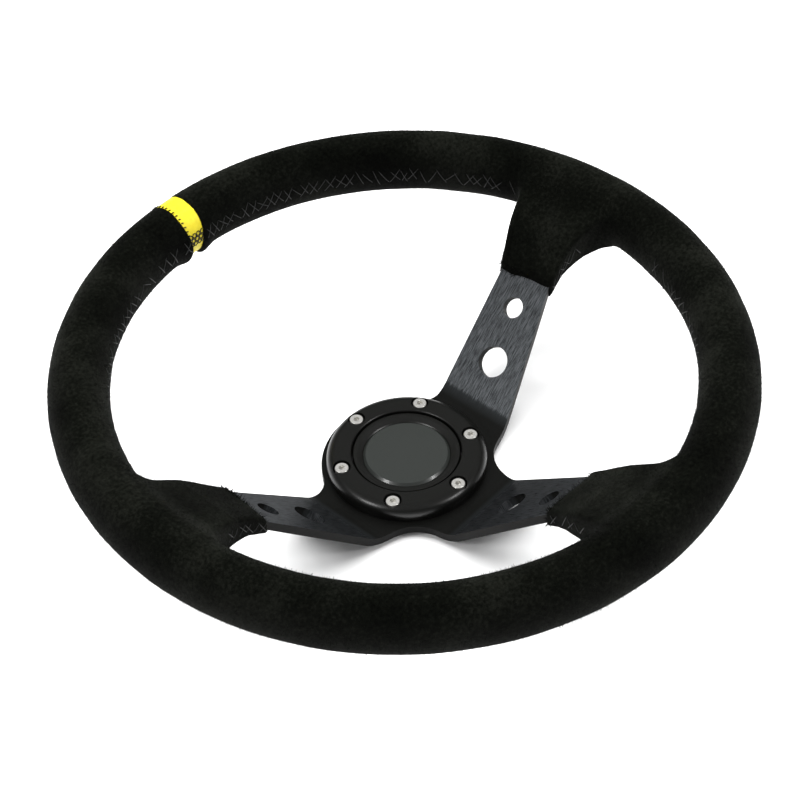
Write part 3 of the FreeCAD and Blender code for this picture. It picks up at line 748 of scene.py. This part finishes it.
def paint_frame(steel):
    """Gives the CAD pieces that stay visible their materials."""
    brass = plain_material("brass", (0.62, 0.44, 0.16), 0.32, 1.0)
    looks = {
        "spoke_plate": brushed_material(),
        "rim_core_ring": steel,
        "spoke_rivets": steel,
        "trim_ring": plain_material("ring_black", (0.0022, 0.0023, 0.0019), 0.32, grain=900.0, strength=0.08),
        "ring_screws": plain_material("screw_steel", (0.68, 0.67, 0.64), 0.30, 0.80),
        "horn_housing": plain_material("housing_black", (0.02, 0.02, 0.02), 0.55),
        "retaining_clip": steel,
        "horn_cap": plain_material("bezel_black", (0.0024, 0.0025, 0.0021), 0.36, grain=1200.0),
        "horn_insert": plain_material("insert_grey", (0.0145, 0.0165, 0.0150), 0.34, coat=0.35,
                                      grain=1800.0, strength=0.04),
        "stem_circlip": steel,
        "moving_contact": brass,
        "fixed_contact": brass,
        "contact_insulator": plain_material("insulator_black", (0.02, 0.02, 0.02), 0.6),
        "earth_terminal": brass,
        "live_terminal": brass,
    }
    for name, material in looks.items():
        node = frame["nodes"][name]
        node.data.materials.clear()
        node.data.materials.append(material)


# ---------------------------------------------------------------- studio
def camera():
    """Looks down at the rim's middle from between 6 and 9 o'clock, then rolls, tilts and pans a little."""
    azimuth, elevation = math.radians(CAMERA_AZIMUTH), math.radians(CAMERA_ELEVATION)
    back = Vector((math.cos(elevation) * math.cos(azimuth), math.cos(elevation) * math.sin(azimuth),
                   math.sin(elevation)))
    right = (-back).cross(Vector((0, 0, 1))).normalized()
    up = right.cross(-back)
    axes = Matrix((right, -up, -back))
    turn = (Matrix.Rotation(math.radians(CAMERA_ROLL), 3, "Z")
            @ Matrix.Rotation(math.radians(CAMERA_TILT), 3, "X")
            @ Matrix.Rotation(math.radians(CAMERA_PAN), 3, "Y"))
    seen = turn @ axes
    basis = Matrix((seen[0], -seen[1], -seen[2])).transposed().to_4x4()
    basis.translation = back * CAMERA_DISTANCE + Vector((0, 0, RIM_HEIGHT))
    data = bpy.data.cameras.new("camera")
    data.lens = LENS
    data.sensor_width = 36.0
    data.clip_start = 0.01
    obj = bpy.data.objects.new("camera", data)
    obj.matrix_world = basis
    bpy.context.scene.collection.objects.link(obj)
    bpy.context.scene.camera = obj


def area_light(name, place, target, width, height, watts):
    data = bpy.data.lights.new(name, "AREA")
    data.shape = "RECTANGLE"
    data.size = width
    data.size_y = height
    data.energy = watts
    obj = bpy.data.objects.new(name, data)
    obj.location = place
    obj.rotation_euler = (Vector(target) - Vector(place)).to_track_quat("-Z", "Y").to_euler()
    bpy.context.scene.collection.objects.link(obj)
    return obj


def floor():
    bpy.ops.mesh.primitive_plane_add(size=FLOOR_SIZE, location=(0, 0, FLOOR_HEIGHT))
    plane = bpy.context.object
    plane.name = "floor"
    material, _, _, shader = new_material("floor")
    shader.inputs["Base Color"].default_value = (0.93, 0.93, 0.93, 1)
    shader.inputs["Roughness"].default_value = 0.10
    shader.inputs["Specular IOR Level"].default_value = 0.6
    shader.inputs["Emission Color"].default_value = (1, 1, 1, 1)
    shader.inputs["Emission Strength"].default_value = 0.05
    plane.data.materials.append(material)


def world():
    scene_world = bpy.data.worlds.new("studio")
    scene_world.use_nodes = True
    background = scene_world.node_tree.nodes["Background"]
    background.inputs["Color"].default_value = (1, 1, 1, 1)
    background.inputs["Strength"].default_value = 0.29
    bpy.context.scene.world = scene_world


def lights():
    overhead = area_light("overhead", (0.80, 0.75, 2.5), (0, 0, 0), 4.2, 4.2, 292.0)
    overhead.visible_glossy = False
    area_light("left", (-1.28, 0.30, 1.10), (0, 0, 0.02), 0.38, 0.38, 9.0)
    area_light("right", (0.53, -1.27, 1.02), (0, 0, 0.02), 0.38, 0.38, 9.0)
    area_light("side", (-0.92, 0.82, 1.22), (0, 0, 0.02), 0.6, 0.5, 0.5)


suede = suede_material()
black_thread = thread_material("black_thread", (0.004, 0.004, 0.004))
grey_thread = thread_material("grey_thread", (0.0030, 0.0032, 0.0029))
nap_fibres(suede_pieces(suede), suede)
centre_band(yellow_material())
rim_stitching(grey_thread)
root_side_stitching(grey_thread)
band_stitching(black_thread)
steel = plain_material("steel", (0.42, 0.42, 0.43), 0.35, 1.0)
return_spring(steel)
paint_frame(steel)
world()
lights()
floor()
camera()
bpy.context.scene.view_settings.view_transform = "Standard"
